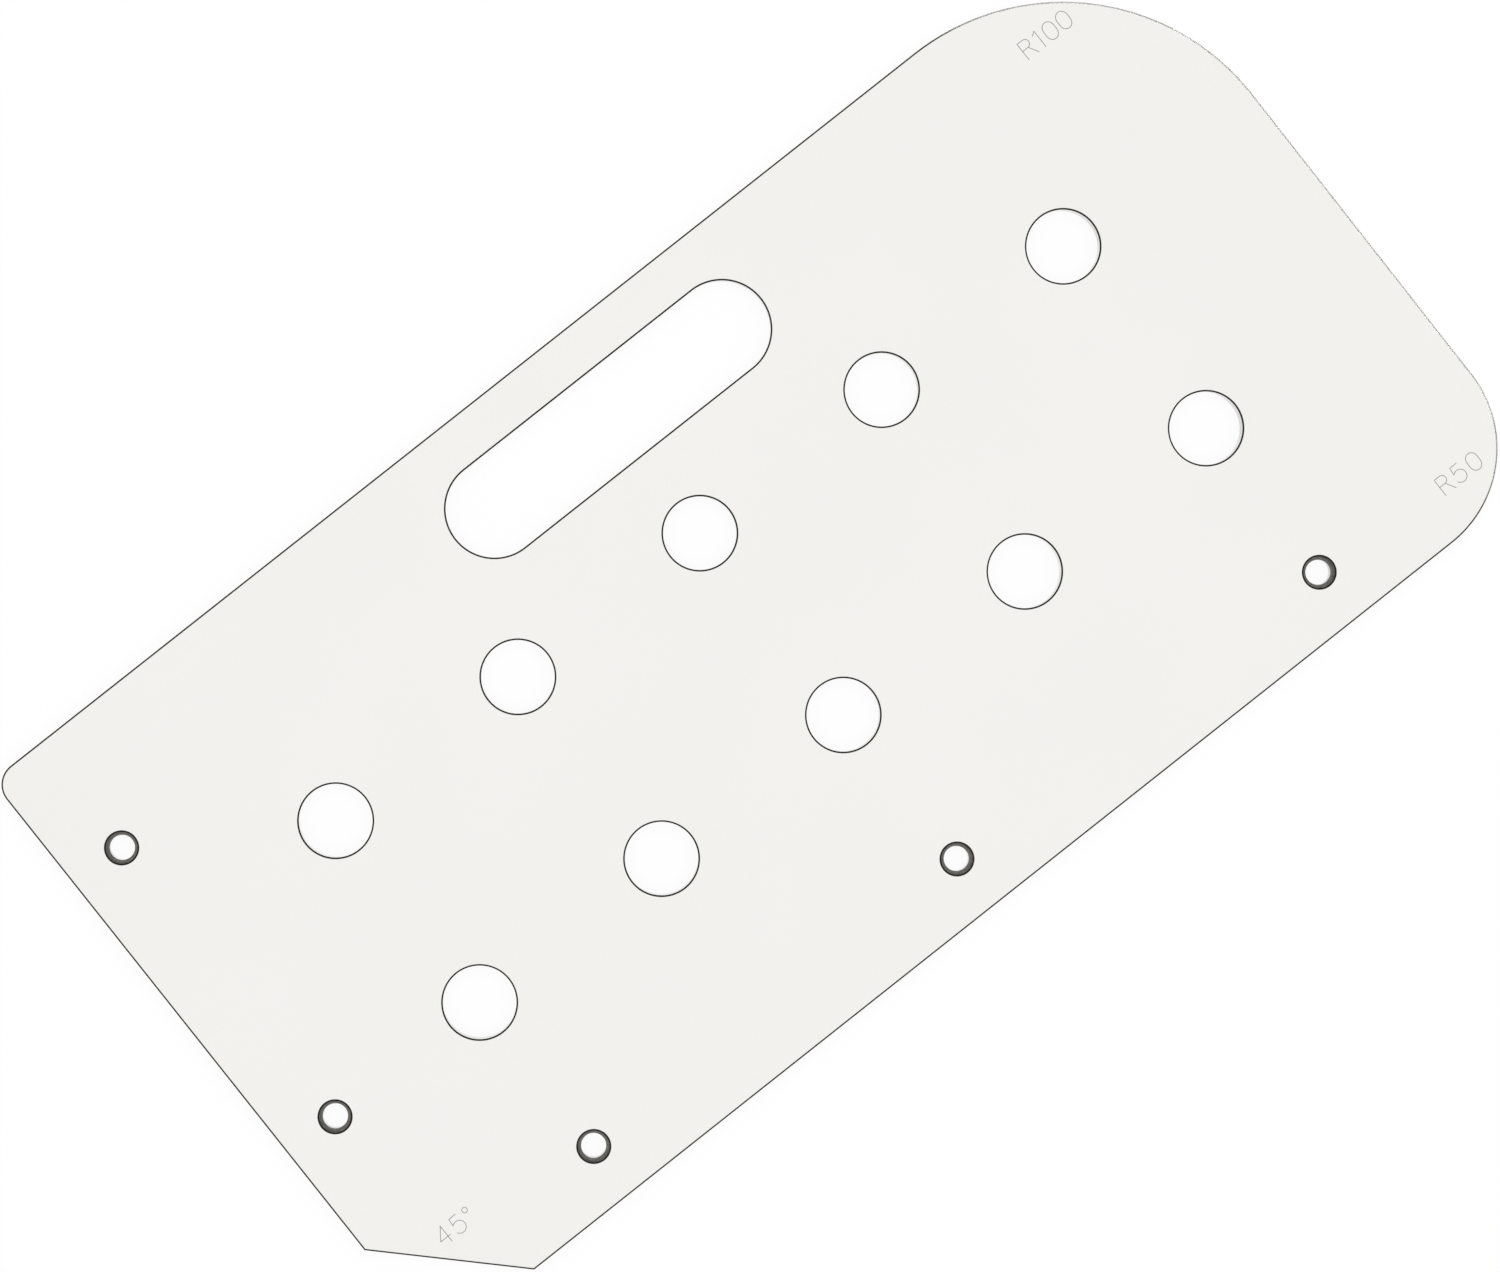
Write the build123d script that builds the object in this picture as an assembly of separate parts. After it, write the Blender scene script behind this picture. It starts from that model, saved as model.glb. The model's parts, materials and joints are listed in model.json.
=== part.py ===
from build123d import *
import os

# A boring and corner jig for worktops: one flat sheet of solid laminate, pressed from a dark phenolic core
# with a white decor sheet on each face, and machined to shape in one setting.
# Sizes are in millimetres. The origin is the middle of the underside, +X runs along the sheet towards
# the two largest corner radii, +Y towards the hand slot, and +Z up out of the face the router rides on.

# Pressed sheet
sheet_thickness = 12.7
decor_thickness = 0.1

# Outline, which stands off the grid of guide holes by the same margin on all four sides
hole_pitch = 96.0
hole_columns = 5
hole_rows = 2
grid_margin = 101.0
sheet_length = (hole_columns - 1) * hole_pitch + 2 * grid_margin
sheet_width = (hole_rows - 1) * hole_pitch + 2 * grid_margin

# Corners, each one a template of its own
large_corner_radius = 100.0
middle_corner_radius = 50.0
small_corner_radius = 10.0
corner_cut = 50.0

# Guide holes, each taking the spigot of a router's guide bush
guide_bush_diameter = 30.0
guide_bush_clearance = 0.25
guide_hole_radius = guide_bush_diameter / 2 + guide_bush_clearance

# Stepped holes for loose location pins, in from one long edge and one short edge by the same distance
pin_bore_radius = 5.2
pin_recess_radius = 6.6
pin_recess_depth = 5.2
pin_edge_distance = 24.8
end_pin_spacing = 142.0

# Hand slot
hand_slot_width = 40.4
hand_slot_centres = 120.0
hand_slot_shift = 0.5
grip_width = 20.2

# Bevel on every edge of both faces, through the decor sheet and into the core
edge_bevel = 0.7

# How far a cutter runs past a face
overrun = 5.0

# Outermost row and column of the grid
column_reach = (hole_columns - 1) * hole_pitch / 2
row_reach = (hole_rows - 1) * hole_pitch / 2


def corner_of(plan, x_side, y_side):
    """The corner of the plan nearest to one corner of the sheet's bounding rectangle."""
    return plan.vertices().sort_by_distance((x_side * sheet_length / 2, y_side * sheet_width / 2))[0]


def sheet_plan():
    """The outline: three corners of different radius and one cut off at 45 degrees."""
    plan = Rectangle(sheet_length, sheet_width)
    plan = fillet(corner_of(plan, 1, 1), large_corner_radius)
    plan = fillet(corner_of(plan, 1, -1), middle_corner_radius)
    plan = fillet(corner_of(plan, -1, 1), small_corner_radius)
    return chamfer(corner_of(plan, -1, -1), corner_cut)


def cutter(radius):
    """A round cutter that runs past both faces of the sheet."""
    base = Location((0, 0, -overrun))
    return base * Cylinder(radius, sheet_thickness + 2 * overrun, align=(Align.CENTER, Align.CENTER, Align.MIN))


def guide_holes():
    """The guide hole cutters, on their square grid."""
    return GridLocations(hole_pitch, hole_pitch, hole_columns, hole_rows) * cutter(guide_hole_radius)


def pin_places():
    """Location pins: three in line with the outer and middle columns, and two near the short edge."""
    long_edge_y = -sheet_width / 2 + pin_edge_distance
    short_edge_x = -sheet_length / 2 + pin_edge_distance
    along_long_edge = [(column_reach * side, long_edge_y) for side in (-1, 0, 1)]
    along_short_edge = [(short_edge_x, -row_reach), (short_edge_x, -row_reach + end_pin_spacing)]
    return along_long_edge + along_short_edge


def pin_holes():
    """The cutters of the stepped holes: a bore right through, and a recess from the upper face."""
    recess = Location((0, 0, sheet_thickness - pin_recess_depth)) * Cylinder(
        pin_recess_radius, pin_recess_depth + overrun, align=(Align.CENTER, Align.CENTER, Align.MIN)
    )
    stepped = cutter(pin_bore_radius) + recess
    return [Location((x, y, 0)) * stepped for x, y in pin_places()]


def hand_slot():
    """The cutter of the hand slot, which leaves a grip along the long edge."""
    slot = SlotCenterToCenter(hand_slot_centres, hand_slot_width)
    slot_y = sheet_width / 2 - grip_width - hand_slot_width / 2
    return Location((-hand_slot_shift, slot_y, -overrun)) * extrude(slot, sheet_thickness + 2 * overrun)


def machined_sheet():
    """The whole sheet, cut out, bored and bevelled."""
    sheet = extrude(sheet_plan(), sheet_thickness)
    sheet -= [*guide_holes(), *pin_holes(), hand_slot()]
    faces = sheet.faces().sort_by(Axis.Z)
    rims = faces[0].edges() + faces[-1].edges()
    return chamfer(rims, edge_bevel)


def layer(whole, bottom, top):
    """One pressed layer of the machined sheet, between two heights."""
    slab = Location((0, 0, bottom)) * Box(
        sheet_length, sheet_width, top - bottom, align=(Align.CENTER, Align.CENTER, Align.MIN)
    )
    return (whole & slab).solid()


laminate = machined_sheet()
core_top = sheet_thickness - decor_thickness
layers = {
    "underside_decor_sheet": layer(laminate, 0, decor_thickness),
    "phenolic_core": layer(laminate, decor_thickness, core_top),
    "top_decor_sheet": layer(laminate, core_top, sheet_thickness),
}

os.makedirs("parts", exist_ok=True)
for name, shape in layers.items():
    shape.label = name
    export_step(shape, f"parts/{name}.step")
    print(name, round(shape.volume), "cubic mm")
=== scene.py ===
"""The worktop router jig as it looks: one sheet of solid laminate, machined in a single setting,
lying face up on a white bench under soft light. Lengths are in metres."""
import json
import math

import bmesh
import bpy
from mathutils import Matrix, Vector


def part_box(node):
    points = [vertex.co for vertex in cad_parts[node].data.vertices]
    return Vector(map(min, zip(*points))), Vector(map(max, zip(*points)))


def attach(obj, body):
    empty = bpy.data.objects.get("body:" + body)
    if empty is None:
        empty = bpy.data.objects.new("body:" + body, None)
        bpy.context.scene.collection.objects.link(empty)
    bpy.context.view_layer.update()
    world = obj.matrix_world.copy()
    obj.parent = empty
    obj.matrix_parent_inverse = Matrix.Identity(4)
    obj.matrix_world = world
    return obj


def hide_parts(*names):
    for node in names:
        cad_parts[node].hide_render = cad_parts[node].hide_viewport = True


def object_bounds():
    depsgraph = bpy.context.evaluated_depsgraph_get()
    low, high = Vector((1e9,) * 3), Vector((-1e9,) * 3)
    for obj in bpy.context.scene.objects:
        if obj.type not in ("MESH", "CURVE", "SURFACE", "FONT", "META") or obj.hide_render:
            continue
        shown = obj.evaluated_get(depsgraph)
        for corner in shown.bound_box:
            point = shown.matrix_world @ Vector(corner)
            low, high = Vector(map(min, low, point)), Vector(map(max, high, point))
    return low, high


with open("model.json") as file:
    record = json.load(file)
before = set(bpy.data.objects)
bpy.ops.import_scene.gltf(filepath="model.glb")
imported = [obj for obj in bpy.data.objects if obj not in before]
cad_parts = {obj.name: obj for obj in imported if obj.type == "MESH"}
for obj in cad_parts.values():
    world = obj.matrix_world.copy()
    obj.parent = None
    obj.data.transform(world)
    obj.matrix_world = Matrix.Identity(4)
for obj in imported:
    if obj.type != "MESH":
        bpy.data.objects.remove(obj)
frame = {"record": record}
sheet_low, sheet_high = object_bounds()
mounts = {mount["name"]: mount for mount in frame["record"]["mounts"]}
openings = {opening["name"]: opening for opening in frame["record"]["physics"]["openings"]}
pin_recesses = [mount for name, mount in mounts.items() if name.startswith("pin_recess")]

# Pressed layers and the bevel on every edge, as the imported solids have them
thickness = sheet_high.z - sheet_low.z
core_low, core_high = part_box("phenolic_core")
top_decor_low, top_decor_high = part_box("top_decor_sheet")
decor_thickness = top_decor_high.z - top_decor_low.z
edge_bevel = sheet_high.x - top_decor_high.x + decor_thickness

# Corners of the outline
large_corner_radius = 0.100
middle_corner_radius = 0.050
small_corner_radius = 0.010
corner_cut = 0.050

# Hand slot
hand_slot_width = 0.0404
hand_slot_centres = 0.120

# How far a cutter runs past a face
overrun = 0.002

# Engraved marks: cap height, line width and depth of the round-nosed groove, and how much wider the
# engraving tool cuts where it dwells at the end of a line
cap_height = 0.0080
groove_width = 0.00034
groove_depth = 0.00008
dwell_share = 1.03

# Fineness of the round stretches: steps in a full turn of the sheet's holes and corners, steps round
# a groove, and degrees to a step of a round letter
turn_steps = 144
groove_steps = 16
letter_step = 10

# How far a face's normal may be off and still count as upright or level
facing_slack = 0.1

# Patterns of the cut core: how flat cutter marks and pressed papers are squashed along their run, and
# how fast turned rings break up on their way round a hole
mark_squash = 0.03
paper_squash = 0.02
ring_break = 1.3

# Usual reach of a noise, about one half, that a finish spreads over values of its own
usual_low, usual_high = 0.35, 0.65

# Light strips standing on the bench
strip_middle = 0.006
strip_height = 0.010

# Where the camera stood, the point of the upper face in the middle of the picture, and how far the
# long side of the sheet is turned in it
camera_place = Vector((-0.0579, 0.0768, 2.6608))
camera_aim = Vector((-0.0101, 0.0017, thickness))
camera_turn = math.radians(38.286)
camera_lens = 153.48
camera_sensor = 36.0


def new_object(name, data):
    """A new object of the scene, at the origin."""
    obj = bpy.data.objects.new(name, data)
    bpy.context.scene.collection.objects.link(obj)
    return obj


def add_node(tree, kind, inputs=(), **settings):
    """A node of one kind; inputs are sockets to link from or values to set, by name or number."""
    node = tree.nodes.new(kind)
    for name, value in settings.items():
        setattr(node, name, value)
    for key, value in dict(inputs).items():
        for source in value if isinstance(value, list) else [value]:
            if isinstance(source, bpy.types.NodeSocket):
                tree.links.new(source, node.inputs[key])
            else:
                node.inputs[key].default_value = source
    return node


def calculate(tree, operation, *values):
    """One step of arithmetic on numbers."""
    return add_node(tree, "ShaderNodeMath", dict(enumerate(values)), operation=operation).outputs[0]


def calculate_vector(tree, operation, *values):
    """One step of arithmetic on vectors."""
    return add_node(tree, "ShaderNodeVectorMath", dict(enumerate(values)), operation=operation).outputs[0]


def new_group(name, kind, inputs, outputs):
    """A node group with named sockets, and its input and output nodes."""
    tree = bpy.data.node_groups.new(name, kind)
    for socket, socket_kind in inputs.items():
        tree.interface.new_socket(socket, in_out="INPUT", socket_type=socket_kind)
    for socket, socket_kind in outputs.items():
        tree.interface.new_socket(socket, in_out="OUTPUT", socket_type=socket_kind)
    return tree, tree.nodes.new("NodeGroupInput").outputs, tree.nodes.new("NodeGroupOutput")


def apply_tree(obj, tree, **values):
    """Runs a Geometry Nodes tree on an object and keeps the result as its plain mesh."""
    modifier = obj.modifiers.new(tree.name, "NODES")
    modifier.node_group = tree
    for socket in tree.interface.items_tree:
        name = socket.name.lower().replace(" ", "_")
        if socket.in_out == "INPUT" and name in values:
            modifier[socket.identifier] = values[name]
    evaluated = obj.evaluated_get(bpy.context.evaluated_depsgraph_get())
    mesh = bpy.data.meshes.new_from_object(evaluated)
    obj.modifiers.remove(modifier)
    obj.data = mesh


# Outlines and cutters

def arc(centre, radii, start, end, steps):
    """Points of a round or oval arc from one angle to another, in degrees."""
    angles = [math.radians(start + (end - start) * step / steps) for step in range(steps + 1)]
    return [(centre[0] + radii[0] * math.cos(a), centre[1] + radii[1] * math.sin(a)) for a in angles]


def round_corner(corner, x_side, y_side, radius, inset, start):
    """A corner of the outline turned at a radius, on the outline set in by inset."""
    centre = (corner[0] - x_side * radius, corner[1] - y_side * radius)
    return arc(centre, (radius - inset, radius - inset), start, start + 90, turn_steps // 4)


def sheet_outline(inset):
    """The edge of the sheet, anticlockwise, set in all round by inset."""
    left, right, front, back = sheet_low.x, sheet_high.x, sheet_low.y, sheet_high.y
    along = corner_cut + inset * math.tan(math.radians(22.5))
    return (
        round_corner((right, back), 1, 1, large_corner_radius, inset, 0)
        + round_corner((left, back), -1, 1, small_corner_radius, inset, 90)
        + [(left + inset, front + along), (left + along, front + inset)]
        + round_corner((right, front), 1, -1, middle_corner_radius, inset, 270)
    )


def hand_slot_outline(growth):
    """The hand slot, anticlockwise, grown all round by growth."""
    low, high = openings["hand_slot"]["box_m"]
    centre = Vector(low).lerp(Vector(high), 0.5)
    radius = hand_slot_width / 2 + growth
    reach = hand_slot_centres / 2
    return (
        arc((centre.x + reach, centre.y), (radius, radius), -90, 90, turn_steps // 2)
        + arc((centre.x - reach, centre.y), (radius, radius), 90, 270, turn_steps // 2)
    )


def lofted(name, outlines):
    """A closed solid through (outline, height) pairs, from the lowest to the highest."""
    shape = bmesh.new()
    rings = [[shape.verts.new((x, y, height)) for x, y in outline] for outline, height in outlines]
    for lower, upper in zip(rings, rings[1:]):
        for i in range(len(lower)):
            j = (i + 1) % len(lower)
            shape.faces.new((lower[i], lower[j], upper[j], upper[i]))
    shape.faces.new(reversed(rings[0]))
    shape.faces.new(rings[-1])
    mesh = bpy.data.meshes.new(name)
    shape.to_mesh(mesh)
    shape.free()
    return new_object(name, mesh)


def turned(name, profile):
    """A round cutter through (radius, height) pairs, from the lowest to the highest."""
    return lofted(name, [
        (arc((0, 0), (radius, radius), 0, 360, turn_steps)[:-1], height) for radius, height in profile
    ])


def pressed_layer(name, bottom, top):
    """One layer of the sheet between two heights, its edge following the bevels of both faces."""
    turns = [height for height in (edge_bevel, thickness - edge_bevel) if bottom < height < top]
    heights = [bottom, *turns, top]
    insets = [max(0, edge_bevel - height, height - thickness + edge_bevel) for height in heights]
    return lofted(name, [(sheet_outline(inset), height) for inset, height in zip(insets, heights)])


def guide_hole_cutter():
    """Bores a guide hole and bevels its two rims."""
    radius = mounts["guide_hole_back_1"]["dims"]["r_mm"] / 1000
    flare = radius + edge_bevel + overrun
    return turned("guide_hole_cutter", [
        (flare, -overrun),
        (radius, edge_bevel),
        (radius, thickness - edge_bevel),
        (flare, thickness + overrun),
    ])


def pin_hole_cutter():
    """Bores a stepped pin hole, sinks its recess and bevels both rims."""
    recess = mounts["pin_recess_front_left"]
    bore_radius = mounts["pin_bore_front_left"]["dims"]["r_mm"] / 1000
    recess_radius = recess["dims"]["r_mm"] / 1000
    recess_floor = recess["pos_m"][2] - recess["dims"]["length_mm"] / 2000
    return turned("pin_hole_cutter", [
        (bore_radius + edge_bevel + overrun, -overrun),
        (bore_radius, edge_bevel),
        (bore_radius, recess_floor),
        (recess_radius, recess_floor),
        (recess_radius, thickness - edge_bevel),
        (recess_radius + edge_bevel + overrun, thickness + overrun),
    ])


def hand_slot_cutter():
    """Cuts the hand slot and bevels its two rims."""
    flare = edge_bevel + overrun
    return lofted("hand_slot_cutter", [
        (hand_slot_outline(flare), -overrun),
        (hand_slot_outline(0), edge_bevel),
        (hand_slot_outline(0), thickness - edge_bevel),
        (hand_slot_outline(flare), thickness + overrun),
    ])


def pin_places():
    """The middle of each stepped pin hole, as loose points on the underside."""
    mesh = bpy.data.meshes.new("pin_places")
    mesh.from_pydata([(*recess["pos_m"][:2], 0) for recess in pin_recesses], [], [])
    return new_object("pin_places", mesh)


# Machining of the layers

def shape_of(tree, source):
    """The shape of another object, unmoved."""
    return add_node(tree, "GeometryNodeObjectInfo", {"Object": source}).outputs["Geometry"]


def row_length(tree, count, pitch):
    """Distance from the first to the last hole of a row."""
    return calculate(tree, "MULTIPLY", calculate(tree, "SUBTRACT", count, 1.0), pitch)


def cutters_at(tree, points, cutter):
    """The same cutter at every point."""
    placed = add_node(tree, "GeometryNodeInstanceOnPoints", {
        "Points": points, "Instance": shape_of(tree, cutter)})
    return add_node(tree, "GeometryNodeRealizeInstances", {"Geometry": placed.outputs[0]}).outputs[0]


def finish_by_facing(tree, shape, given):
    """The bevel's finish all over, then the wall's on upright faces and the floor's on level ones."""
    finished = add_node(tree, "GeometryNodeSetMaterial", {
        "Geometry": shape, "Material": given["Bevel Finish"]})
    normal = add_node(tree, "GeometryNodeInputNormal").outputs[0]
    level = calculate(tree, "ABSOLUTE", add_node(tree, "ShaderNodeSeparateXYZ", {0: normal}).outputs["Z"])
    for facing, finish in ((0.0, "Wall Finish"), (1.0, "Floor Finish")):
        finished = add_node(tree, "GeometryNodeSetMaterial", {
            "Geometry": finished.outputs[0], "Material": given[finish],
            "Selection": calculate(tree, "COMPARE", level, facing, facing_slack)})
    return finished.outputs[0]


def machining_tree():
    """Cuts the grid of guide holes, the pin holes and the hand slot out of one layer of the sheet."""
    tree, given, result = new_group("Machined Layer", "GeometryNodeTree", {
        "Layer": "NodeSocketGeometry", "Hole Pitch": "NodeSocketFloat",
        "Hole Columns": "NodeSocketInt", "Hole Rows": "NodeSocketInt",
        "Guide Hole Cutter": "NodeSocketObject", "Pin Hole Cutter": "NodeSocketObject",
        "Pin Places": "NodeSocketObject", "Hand Slot Cutter": "NodeSocketObject",
        "Bevel Finish": "NodeSocketMaterial", "Wall Finish": "NodeSocketMaterial",
        "Floor Finish": "NodeSocketMaterial",
    }, {"Machined": "NodeSocketGeometry"})
    pitch, columns, rows = given["Hole Pitch"], given["Hole Columns"], given["Hole Rows"]
    grid = add_node(tree, "GeometryNodeMeshGrid", {
        "Size X": row_length(tree, columns, pitch), "Size Y": row_length(tree, rows, pitch),
        "Vertices X": columns, "Vertices Y": rows})
    cut = add_node(tree, "GeometryNodeMeshBoolean", {"Mesh 1": given["Layer"], "Mesh 2": [
        cutters_at(tree, grid.outputs["Mesh"], given["Guide Hole Cutter"]),
        cutters_at(tree, shape_of(tree, given["Pin Places"]), given["Pin Hole Cutter"]),
        shape_of(tree, given["Hand Slot Cutter"]),
    ]}, operation="DIFFERENCE", solver="EXACT")
    whole = add_node(tree, "GeometryNodeRealizeInstances", {"Geometry": cut.outputs["Mesh"]})
    tree.links.new(finish_by_facing(tree, whole.outputs[0], given), result.inputs[0])
    return tree


# Engraved marks, as the strokes of single-line letters in shares of the cap height

def bend(centre, radii, start, end):
    """A round or oval stroke from one angle to another, in degrees."""
    return arc(centre, radii, start, end, round(abs(end - start) / letter_step))


letter_strokes = {
    "R": [
        [(0, 0), (0, 1)],
        [(0, 1), *bend((0.34, 0.765), (0.235, 0.235), 90, -90), (0, 0.53)],
        [(0.36, 0.53), (0.67, 0)],
    ],
    "1": [[(0, 0), (0, 1)], [(0, 1), (-0.23, 0.84)]],
    "0": [[
        *bend((0, 0.63), (0.325, 0.37), 0, 180),
        *bend((0, 0.37), (0.325, 0.37), 180, 360),
        (0.325, 0.63),
    ]],
    "5": [
        [(0.46, 1), (0.035, 0.98)],
        [(0.035, 0.98), (0, 0.59)],
        bend((0.243, 0.34), (0.34, 0.34), 135, -150),
    ],
    "4": [[(0, 1), (0, 0)], [(0, 1), (-0.48, 0.33)], [(-0.48, 0.33), (0.15, 0.33)]],
    "degree": [bend((0, 0.86), (0.145, 0.145), 0, 360)],
}

# Each mark: the foot of its first letter, and each letter with its distance along the mark
corner_marks = {
    "large_corner": ((0.2287, 0.1175), [("R", 0), ("1", 0.0089), ("0", 0.0144), ("0", 0.0215)]),
    "middle_corner": ((0.2532, -0.1319), [("R", 0), ("5", 0.0079), ("0", 0.0178)]),
    "corner_cut": ((-0.26225, -0.1185), [("4", 0), ("5", 0.0042), ("degree", 0.0120)]),
}


def mark_lines(height):
    """The strokes of all three marks as open curves at one height."""
    lines = bpy.data.curves.new("mark_lines", "CURVE")
    lines.dimensions = "3D"
    for (foot_x, foot_y), letters in corner_marks.values():
        for letter, along in letters:
            for stroke in letter_strokes[letter]:
                spline = lines.splines.new("POLY")
                spline.points.add(len(stroke) - 1)
                for point, (across, up) in zip(spline.points, stroke):
                    x, y = foot_x + along + across * cap_height, foot_y + up * cap_height
                    point.co = (x, y, height, 1)
    return new_object("mark_lines", lines)


def engraving_tree():
    """Engraves a round-nosed groove along every line, into the face that the lines lie over."""
    tree, given, result = new_group("Engraved Face", "GeometryNodeTree", {
        "Face": "NodeSocketGeometry", "Lines": "NodeSocketObject", "Nose Radius": "NodeSocketFloat",
        "Groove Finish": "NodeSocketMaterial",
    }, {"Engraved": "NodeSocketGeometry"})
    lines = shape_of(tree, given["Lines"])
    nose = add_node(tree, "GeometryNodeCurvePrimitiveCircle", {
        "Resolution": groove_steps, "Radius": given["Nose Radius"]})
    runs = add_node(tree, "GeometryNodeCurveToMesh", {
        "Curve": lines, "Profile Curve": nose.outputs["Curve"], "Fill Caps": True})
    dwell = add_node(tree, "GeometryNodeMeshUVSphere", {
        "Segments": groove_steps, "Rings": groove_steps // 2 + 1,
        "Radius": calculate(tree, "MULTIPLY", given["Nose Radius"], dwell_share)})
    ends = add_node(tree, "GeometryNodeCurveEndpointSelection")
    dwells = add_node(tree, "GeometryNodeInstanceOnPoints", {
        "Points": lines, "Selection": ends.outputs[0], "Instance": dwell.outputs["Mesh"]})
    dwells = add_node(tree, "GeometryNodeRealizeInstances", {"Geometry": dwells.outputs[0]})
    tool = add_node(tree, "GeometryNodeJoinGeometry", {0: [runs.outputs[0], dwells.outputs[0]]})
    tool = add_node(tree, "GeometryNodeSetMaterial", {
        "Geometry": tool.outputs[0], "Material": given["Groove Finish"]})
    cut = add_node(tree, "GeometryNodeMeshBoolean", {
        "Mesh 1": given["Face"], "Mesh 2": tool.outputs[0], "Self Intersection": True,
    }, operation="DIFFERENCE", solver="EXACT")
    whole = add_node(tree, "GeometryNodeRealizeInstances", {"Geometry": cut.outputs["Mesh"]})
    tree.links.new(whole.outputs[0], result.inputs[0])
    return tree


# Effects that the finishes share

def noise(tree, place, scale, detail, roughness=0.5):
    """Soft noise about one half, with so many features a metre."""
    return add_node(tree, "ShaderNodeTexNoise", {
        "Vector": place, "Scale": scale, "Detail": detail, "Roughness": roughness}).outputs["Fac"]


def per_metre(tree, size):
    """How many features of one size go into a metre."""
    return calculate(tree, "DIVIDE", 1.0, size)


def grain_group():
    """Fine even grain of one size, and slow clouding over the whole sheet, both about one half."""
    tree, given, result = new_group("Fine Grain", "ShaderNodeTree", {
        "Place": "NodeSocketVector", "Grain Size": "NodeSocketFloat",
    }, {"Grain": "NodeSocketFloat", "Cloud": "NodeSocketFloat"})
    place = given["Place"]
    grain = noise(tree, place, per_metre(tree, given["Grain Size"]), detail=2.0, roughness=0.6)
    cloud = noise(tree, place, scale=9.0, detail=3.0)
    tree.links.new(grain, result.inputs["Grain"])
    tree.links.new(cloud, result.inputs["Cloud"])
    return tree


def cutter_marks_group():
    """Marks of a spinning cutter on an upright wall, each running the whole height of the sheet."""
    tree, given, result = new_group("Cutter Marks", "ShaderNodeTree", {
        "Place": "NodeSocketVector", "Mark Spacing": "NodeSocketFloat",
    }, {"Marks": "NodeSocketFloat"})
    drawn_out = calculate_vector(tree, "MULTIPLY", given["Place"], (1.0, 1.0, mark_squash))
    marks = noise(tree, drawn_out, per_metre(tree, given["Mark Spacing"]), detail=3.0, roughness=0.7)
    tree.links.new(marks, result.inputs["Marks"])
    return tree


def pressed_papers_group():
    """The kraft papers of the core, which show as faint level lines where the sheet is cut across."""
    tree, given, result = new_group("Pressed Papers", "ShaderNodeTree", {
        "Place": "NodeSocketVector", "Paper Thickness": "NodeSocketFloat",
    }, {"Paper": "NodeSocketFloat"})
    flattened = calculate_vector(tree, "MULTIPLY", given["Place"], (paper_squash, paper_squash, 1.0))
    papers = noise(tree, flattened, per_metre(tree, given["Paper Thickness"]), detail=1.0)
    tree.links.new(papers, result.inputs["Paper"])
    return tree


def nearest_pin(tree, place):
    """The way from the nearest pin hole to a place, level with the sheet, and its length."""
    level = calculate_vector(tree, "MULTIPLY", place, (1.0, 1.0, 0.0))
    nearest, least = None, None
    for recess in pin_recesses:
        from_pin = calculate_vector(tree, "SUBTRACT", level, (*recess["pos_m"][:2], 0.0))
        length = add_node(tree, "ShaderNodeVectorMath", {0: from_pin}, operation="LENGTH")
        distance = length.outputs["Value"]
        if nearest is None:
            nearest, least = from_pin, distance
            continue
        closer = calculate(tree, "LESS_THAN", distance, least)
        mix = add_node(tree, "ShaderNodeMix", {0: closer, 4: nearest, 5: from_pin}, data_type="VECTOR")
        nearest = mix.outputs[1]
        least = calculate(tree, "MINIMUM", distance, least)
    return nearest, least


def turned_marks_group():
    """Broken rings that an end cutter leaves round the nearest pin hole."""
    tree, given, result = new_group("Turned Marks", "ShaderNodeTree", {
        "Place": "NodeSocketVector", "Ring Spacing": "NodeSocketFloat",
    }, {"Rings": "NodeSocketFloat"})
    from_pin, distance = nearest_pin(tree, given["Place"])
    outward = calculate_vector(tree, "NORMALIZE", from_pin)
    ring = calculate(tree, "DIVIDE", distance, given["Ring Spacing"])
    ring = add_node(tree, "ShaderNodeCombineXYZ", {"Z": ring}).outputs[0]
    wound = calculate_vector(tree, "MULTIPLY_ADD", outward, (ring_break, ring_break, ring_break), ring)
    tree.links.new(noise(tree, wound, scale=1.0, detail=2.0, roughness=0.6), result.inputs["Rings"])
    return tree


# Finishes

def new_material(name, colour, roughness):
    """A material with its shader, and the Object coordinates that its patterns read."""
    material = bpy.data.materials.new(name)
    material.use_nodes = True
    tree = material.node_tree
    shader = tree.nodes["Principled BSDF"]
    shader.inputs["Base Color"].default_value = (*colour, 1)
    shader.inputs["Roughness"].default_value = roughness
    place = add_node(tree, "ShaderNodeTexCoord").outputs["Object"]
    return material, tree, shader, place


def add_effect(tree, group, place, size):
    """A shared effect, at its own size in this material."""
    return add_node(tree, "ShaderNodeGroup", {0: place, 1: size}, node_tree=group).outputs


def spread(tree, mask, low, high):
    """A mask whose usual reach is spread from a low value to a high one."""
    return add_node(tree, "ShaderNodeMapRange", {
        "Value": mask, 1: usual_low, 2: usual_high, 3: low, 4: high}).outputs[0]


def shade(tree, shader, mask, dark, light):
    """Colours the surface from dark to light by the usual reach of a mask."""
    mixed = add_node(tree, "ShaderNodeMix", {
        0: spread(tree, mask, low=0, high=1), 6: (*dark, 1), 7: (*light, 1)}, data_type="RGBA")
    tree.links.new(mixed.outputs[2], shader.inputs["Base Color"])


def polish(tree, shader, mask, bright, matt):
    """Varies the roughness from bright to matt by the usual reach of a mask."""
    tree.links.new(spread(tree, mask, low=bright, high=matt), shader.inputs["Roughness"])


def emboss(tree, shader, height, depth):
    """Raises and sinks the surface by a height mask, to a real depth in metres."""
    bump = add_node(tree, "ShaderNodeBump", {"Height": height, "Distance": depth, "Strength": 1.0})
    tree.links.new(bump.outputs[0], shader.inputs["Normal"])


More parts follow.
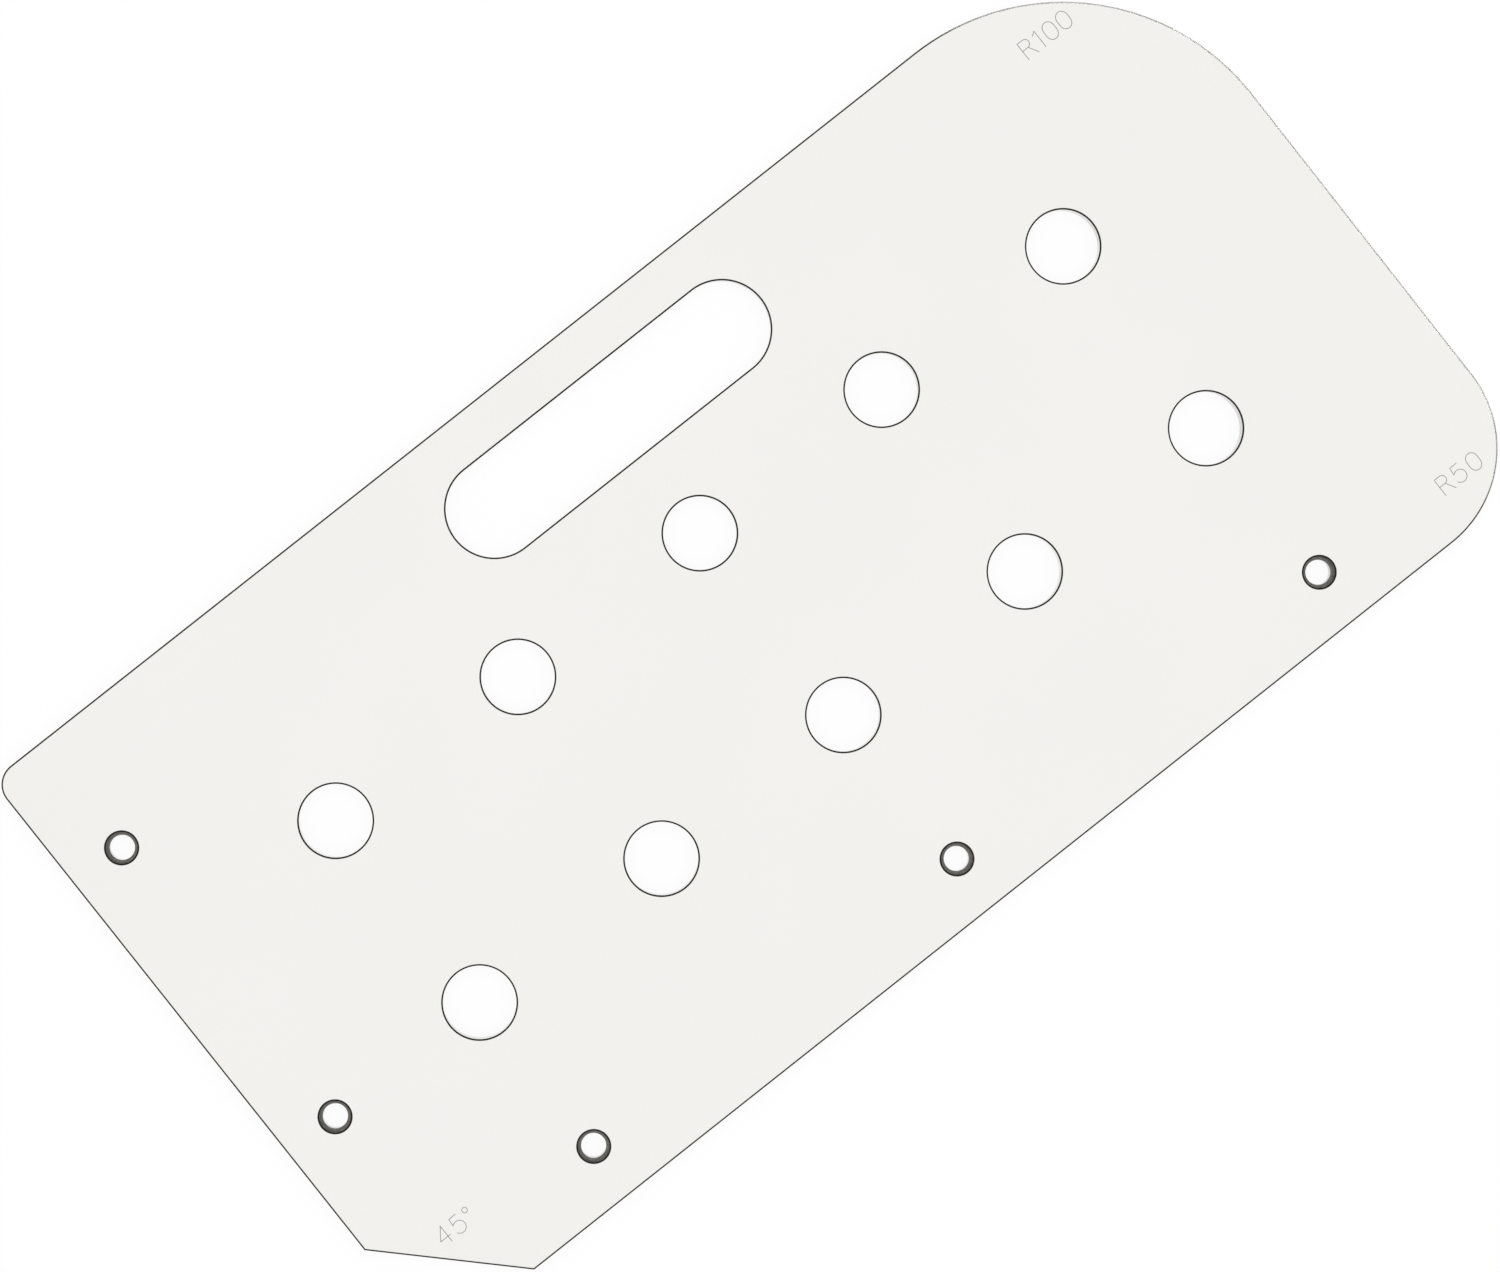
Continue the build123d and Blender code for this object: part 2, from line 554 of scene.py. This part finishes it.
def melamine_finish(grain):
    """White decor: matt melamine with the fine pearl of its press plate and the faintest clouding."""
    material, tree, shader, place = new_material(
        "white_melamine", colour=(0.888, 0.880, 0.855), roughness=0.5)
    pearl = add_effect(tree, grain, place, size=0.0006)
    shade(tree, shader, pearl["Cloud"], dark=(0.883, 0.875, 0.850), light=(0.893, 0.885, 0.860))
    polish(tree, shader, pearl["Grain"], bright=0.44, matt=0.56)
    emboss(tree, shader, pearl["Grain"], depth=0.000004)
    return material


def cut_decor_finish(grain):
    """Cut edge of the decor paper on the bevels, stained by the dark dust of the core."""
    material, tree, shader, place = new_material(
        "cut_decor", colour=(0.20, 0.18, 0.15), roughness=0.6)
    stain = add_effect(tree, grain, place, size=0.0004)
    shade(tree, shader, stain["Grain"], dark=(0.15, 0.135, 0.115), light=(0.25, 0.225, 0.185))
    return material


def bevel_finish(grain, papers):
    """Dark core on the bevels, cut clean and half bright by a new cutter."""
    material, tree, shader, place = new_material(
        "bevelled_phenolic", colour=(0.010, 0.008, 0.006), roughness=0.32)
    paper = add_effect(tree, papers, place, size=0.00018)
    fibre = add_effect(tree, grain, place, size=0.0004)
    shade(tree, shader, paper["Paper"], dark=(0.007, 0.005, 0.004), light=(0.014, 0.011, 0.008))
    polish(tree, shader, fibre["Grain"], bright=0.26, matt=0.38)
    shader.inputs["Specular IOR Level"].default_value = 0.25
    return material


def wall_finish(papers, marks):
    """Dark core on upright walls, burnished by the side of the cutter."""
    material, tree, shader, place = new_material(
        "burnished_phenolic", colour=(0.016, 0.013, 0.010), roughness=0.2)
    paper = add_effect(tree, papers, place, size=0.00018)
    passes = add_effect(tree, marks, place, size=0.0005)
    shade(tree, shader, paper["Paper"], dark=(0.010, 0.008, 0.006), light=(0.026, 0.021, 0.016))
    polish(tree, shader, passes["Marks"], bright=0.14, matt=0.26)
    shader.inputs["Specular IOR Level"].default_value = 0.2
    shader.inputs["Coat Weight"].default_value = 1.0
    shader.inputs["Coat Roughness"].default_value = 0.06
    return material


def recess_floor_finish(grain, rings):
    """Dark core on the floor of a recess, scraped grey in rings by the end of the cutter, the lighter
    rings also a painted sheen of light on the turned marks.
    """
    material, tree, shader, place = new_material(
        "scraped_phenolic", colour=(0.080, 0.076, 0.065), roughness=0.5)
    scrape_and_sheen = add_effect(tree, rings, place, size=0.00035)["Rings"]
    dust = spread(tree, add_effect(tree, grain, place, size=0.0008)["Grain"], low=0.04, high=0.16)
    scrape_and_sheen_share = 0.8
    dust_and_sheen = calculate(tree, "MULTIPLY_ADD", scrape_and_sheen, scrape_and_sheen_share, dust)
    # Colour of the rings: partly the scraped grey of the tool marks, partly painted sheen where the
    # lighter rings stand for light caught on them
    shade(tree, shader, dust_and_sheen, dark=(0.024, 0.022, 0.017), light=(0.235, 0.227, 0.198))
    polish(tree, shader, scrape_and_sheen, bright=0.38, matt=0.62)
    emboss(tree, shader, scrape_and_sheen, depth=0.00001)
    return material


def groove_finish(grain):
    """Bottom of an engraved line, where the white is scraped thin over the dark core, its grey also
    painting the shade that falls in the narrow groove.
    """
    material, tree, shader, place = new_material(
        "scribed_decor", colour=(0.32, 0.31, 0.29), roughness=0.6)
    burr = add_effect(tree, grain, place, size=0.0003)
    # The grey of the groove is partly the white scraped thin over the core and partly painted shade of
    # the narrow groove
    shade(tree, shader, burr["Grain"], dark=(0.25, 0.24, 0.225), light=(0.39, 0.38, 0.355))
    return material


# The sheet

def machined_layers(grain):
    """The three pressed layers, all cut by the same cutters."""
    papers, marks, rings = pressed_papers_group(), cutter_marks_group(), turned_marks_group()
    melamine = melamine_finish(grain)
    white = {
        "bevel_finish": cut_decor_finish(grain),
        "wall_finish": melamine,
        "floor_finish": melamine,
    }
    dark = {
        "bevel_finish": bevel_finish(grain, papers),
        "wall_finish": wall_finish(papers, marks),
        "floor_finish": recess_floor_finish(grain, rings),
    }
    cutters = {
        "guide_hole_cutter": guide_hole_cutter(),
        "pin_hole_cutter": pin_hole_cutter(),
        "hand_slot_cutter": hand_slot_cutter(),
        "pin_places": pin_places(),
    }
    columns = sum(name.startswith("guide_hole_back") for name in mounts)
    rows = sum(name.startswith("guide_hole") for name in mounts) // columns
    pitch = mounts["guide_hole_back_2"]["pos_m"][0] - mounts["guide_hole_back_1"]["pos_m"][0]
    tree = machining_tree()
    layers = {}
    for name, bottom, top, finishes in (
        ("white_underside", 0, core_low.z, white),
        ("machined_core", core_low.z, core_high.z, dark),
        ("white_upper_face", core_high.z, thickness, white),
    ):
        layers[name] = pressed_layer(name, bottom, top)
        apply_tree(
            layers[name], tree, hole_pitch=pitch, hole_columns=columns, hole_rows=rows,
            **cutters, **finishes,
        )
    for cutter in cutters.values():
        bpy.data.objects.remove(cutter)
    return layers


def engrave_marks(face, finish):
    """Engraves the marks of the three corners into the upper face."""
    nose_radius = (groove_width ** 2 / 4 + groove_depth ** 2) / (2 * groove_depth)
    lines = mark_lines(thickness + nose_radius - groove_depth)
    apply_tree(face, engraving_tree(), lines=lines, nose_radius=nose_radius, groove_finish=finish)
    bpy.data.objects.remove(lines)


def finish_piece(obj, node):
    obj.data.polygons.foreach_set("use_smooth", [True] * len(obj.data.polygons))
    obj.data.set_sharp_from_angle(angle=math.radians(20))
    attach(obj, "root")
    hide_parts(node)


def build_sheet():
    """The three layers with the marks engraved in the upper one."""
    grain = grain_group()
    layers = machined_layers(grain)
    engrave_marks(layers["white_upper_face"], groove_finish(grain))
    finish_piece(layers["white_underside"], "underside_decor_sheet")
    finish_piece(layers["machined_core"], "phenolic_core")
    finish_piece(layers["white_upper_face"], "top_decor_sheet")


# Floor, light and camera

def background_seen(tree):
    """1 for rays that show the background, straight on, mirrored or through glass, and 0 for the rest."""
    rays = add_node(tree, "ShaderNodeLightPath").outputs
    seen = calculate(tree, "MAXIMUM", rays["Is Camera Ray"], rays["Is Glossy Ray"])
    return calculate(tree, "MAXIMUM", seen, rays["Is Transmission Ray"])


def white_bench():
    """A plain white floor that shows as white and keeps a soft shadow."""
    bpy.ops.mesh.primitive_plane_add(size=24)
    floor = bpy.context.object
    floor.name = "white_bench"
    material = bpy.data.materials.new("bench_white")
    material.use_nodes = True
    tree = material.node_tree
    tree.nodes.clear()
    plain = add_node(tree, "ShaderNodeBsdfDiffuse", {"Color": (0.85, 0.85, 0.85, 1)})
    shadowed = add_node(tree, "ShaderNodeBsdfDiffuse", {"Color": (0.08, 0.08, 0.08, 1)})
    glow = add_node(tree, "ShaderNodeEmission", {"Strength": 0.925})
    shown = add_node(tree, "ShaderNodeAddShader", {0: shadowed.outputs[0], 1: glow.outputs[0]})
    mixed = add_node(tree, "ShaderNodeMixShader", {
        0: background_seen(tree), 1: plain.outputs[0], 2: shown.outputs[0]})
    add_node(tree, "ShaderNodeOutputMaterial", {"Surface": mixed.outputs[0]})
    floor.data.materials.append(material)


def white_room():
    """Even light from all round, and a white backdrop behind the floor."""
    world = bpy.data.worlds.new("white_room")
    bpy.context.scene.world = world
    world.use_nodes = True
    tree = world.node_tree
    tree.nodes.clear()
    fill = add_node(tree, "ShaderNodeBackground", {"Strength": 0.35})
    backdrop = add_node(tree, "ShaderNodeBackground", {"Strength": 1.0})
    mixed = add_node(tree, "ShaderNodeMixShader", {
        0: background_seen(tree), 1: fill.outputs[0], 2: backdrop.outputs[0]})
    add_node(tree, "ShaderNodeOutputWorld", {"Surface": mixed.outputs[0]})


def softbox(name, place, aim, size, watts):
    """A rectangular soft light turned towards a point."""
    lamp = bpy.data.lights.new(name, "AREA")
    lamp.shape = "RECTANGLE"
    lamp.size, lamp.size_y = size
    lamp.energy = watts
    obj = new_object(name, lamp)
    obj.location = place
    obj.rotation_euler = (Vector(aim) - Vector(place)).to_track_quat("-Z", "Y").to_euler()
    obj.visible_camera = False


def bench_strips():
    """Low strips standing round the right end, below the upper face, which they leave unlit while they
    brighten the outer bevels."""
    for name, place, aim, length, watts in (
        ("strip_by_middle_corner", (0.367, -0.199), (0.243, -0.099), 0.12, 0.16),
        ("strip_by_right_edge", (0.403, -0.015), (0.193, -0.015), 0.30, 0.64),
        ("strip_by_large_corner", (0.337, 0.202), (0.193, 0.049), 0.24, 0.46),
    ):
        softbox(name, (*place, strip_middle), (*aim, strip_middle), (length, strip_height), watts)


def camera_over_sheet():
    """The camera of the photograph, nearly straight above, with the long side of the sheet turned."""
    forward = (camera_aim - camera_place).normalized()
    up_on_sheet = Vector((math.sin(camera_turn), math.cos(camera_turn), 0))
    right = forward.cross(up_on_sheet).normalized()
    up = right.cross(forward)
    lens = bpy.data.cameras.new("camera_over_sheet")
    lens.sensor_width = camera_sensor
    lens.lens = camera_lens
    lens.clip_end = 50
    camera = new_object("camera_over_sheet", lens)
    camera.matrix_world = Matrix((right, up, -forward)).transposed().to_4x4()
    camera.location = camera_place
    bpy.context.scene.camera = camera


build_sheet()
white_bench()
white_room()
softbox("overhead_softbox", place=(0, 0, 3.6), aim=(0, 0, 0), size=(4, 4), watts=119)
bench_strips()
camera_over_sheet()
bpy.context.scene.view_settings.view_transform = "Standard"
